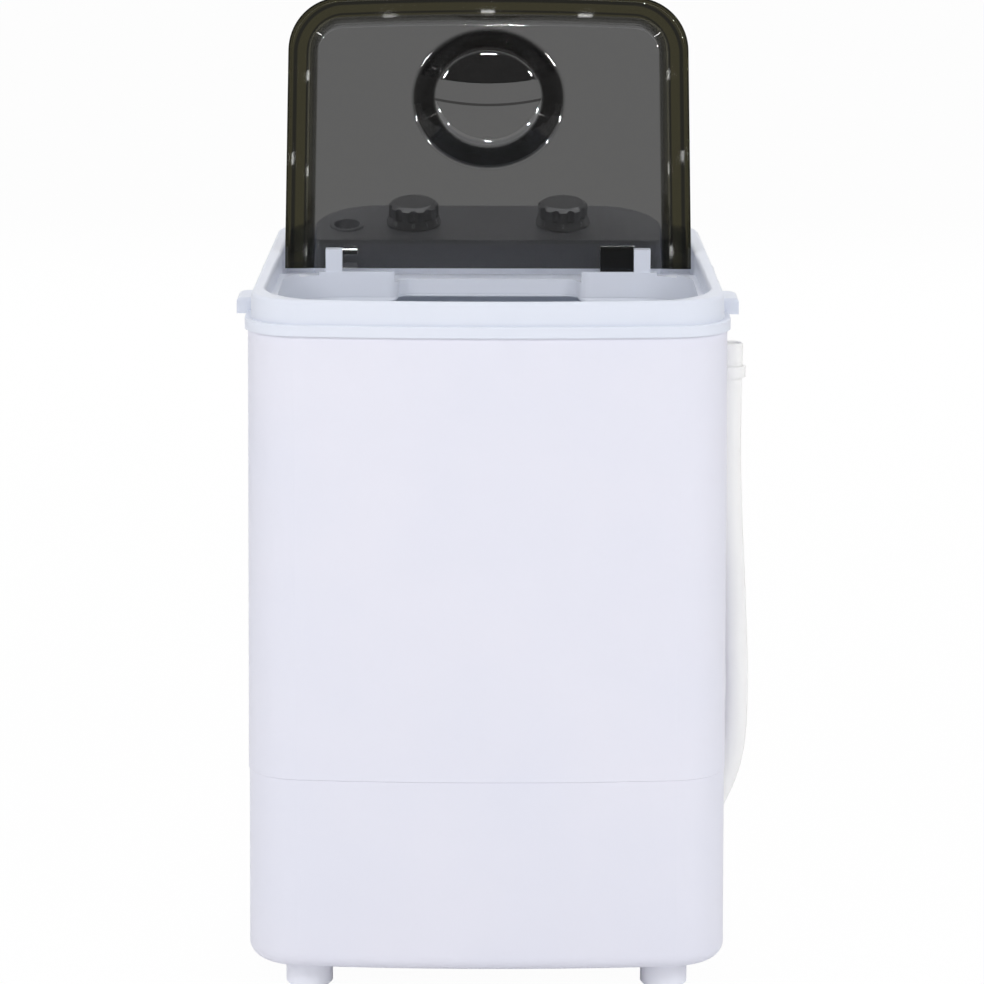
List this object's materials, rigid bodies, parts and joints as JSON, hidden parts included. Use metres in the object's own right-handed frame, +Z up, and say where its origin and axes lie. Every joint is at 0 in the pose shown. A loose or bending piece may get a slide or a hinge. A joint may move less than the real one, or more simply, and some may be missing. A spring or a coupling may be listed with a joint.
{
  "type": "mini washing machine",
  "caption": "Compact top-loading washing machine with a tinted hinged lid, console knobs, a belt-driven pulsator in its tub and a drain hose clipped to its side.",
  "frame": {"origin": "on the floor under the middle of the body, at the feet's undersides", "axes": "+Z up, the front faces -Y, +X to the right of a person facing the front"},
  "size_m": [0.3994, 0.352, 0.7486],
  "materials": {
    "white_plastic": "satin moulded white polypropylene",
    "tub_plastic": "satin moulded polypropylene",
    "knob_plastic": "moulded plastic with a bright silver lacquer",
    "smoke_plastic": "clear smoke-tinted styrene, polished",
    "black_plastic": "black moulded plastic",
    "hose_plastic": "soft light grey vinyl",
    "steel": "zinc-plated steel",
    "motor_paint": "grey enamel",
    "housing_alloy": "cast",
    "bronze": "sintered",
    "black_rubber": "moulded rubber",
    "grey_rubber": "moulded rubber"
  },
  "bodies": {
    "machine": {"base_shell": "white_plastic", "feet": "white_plastic", "bottom_plate": "black_plastic", "plate_screws": "steel", "cabinet": "white_plastic", "wash_tub": "tub_plastic", "drain_strainer": "tub_plastic", "top_frame": "white_plastic", "control_panel": "white_plastic", "water_inlet": "tub_plastic", "wash_timer": "black_plastic", "selector_switch": "black_plastic", "hinge_pins": "steel", "shaft_seal": "black_rubber", "bearing_housing": "housing_alloy", "bearing_bushes": "bronze", "bearing_screws": "steel", "drive_belt": "black_rubber", "motor": "motor_paint", "motor_bracket": "steel", "motor_screws": "steel", "capacitor": "housing_alloy", "drain_pipe": "hose_plastic", "drain_hose": "hose_plastic", "hose_clamp": "steel", "hose_grommet": "grey_rubber", "hose_clip": "hose_plastic", "cord_gland": "black_plastic", "wiring_loom": "black_plastic"},
    "lid": {"lid": "smoke_plastic", "hinge_block": "black_plastic"},
    "timer_dial": {"timer_knob": "knob_plastic", "timer_shaft": "steel"},
    "selector_dial": {"selector_knob": "knob_plastic", "selector_shaft": "steel"},
    "agitator": {"pulsator": "tub_plastic", "pulsator_screw": "steel", "pulsator_shaft": "steel", "drive_pulley": "black_plastic", "pulley_nut": "steel"},
    "rotor": {"motor_pulley": "black_plastic", "motor_shaft": "steel"}
  },
  "joints": [
    {"name": "lid_hinge", "type": "hinge", "parent": "machine", "child": "lid", "pos_m": [0, 0.048, 0.5466], "axis": [1, 0, 0], "range_deg": [0, 98]},
    {"name": "timer_turn", "type": "hinge", "parent": "machine", "child": "timer_dial", "pos_m": [-0.06, 0.122, 0.55945], "axis": [0, 0.2195, -0.9756], "range_deg": [0, 315]},
    {"name": "selector_turn", "type": "hinge", "parent": "machine", "child": "selector_dial", "pos_m": [0.06, 0.122, 0.55945], "axis": [0, 0.2195, -0.9756], "range_deg": [-45, 45]},
    {"name": "agitator_spin", "type": "hinge", "parent": "machine", "child": "agitator", "pos_m": [0, 0, 0.2], "axis": [0, 0, 1], "continuous": true},
    {"name": "motor_spin", "type": "hinge", "parent": "machine", "child": "rotor", "pos_m": [-0.092, 0, 0.13], "axis": [0, 0, 1], "continuous": true}
  ],
  "couplings": [
    {"joint": "motor_spin", "follows": "agitator_spin", "ratio": 4.3846}
  ]
}
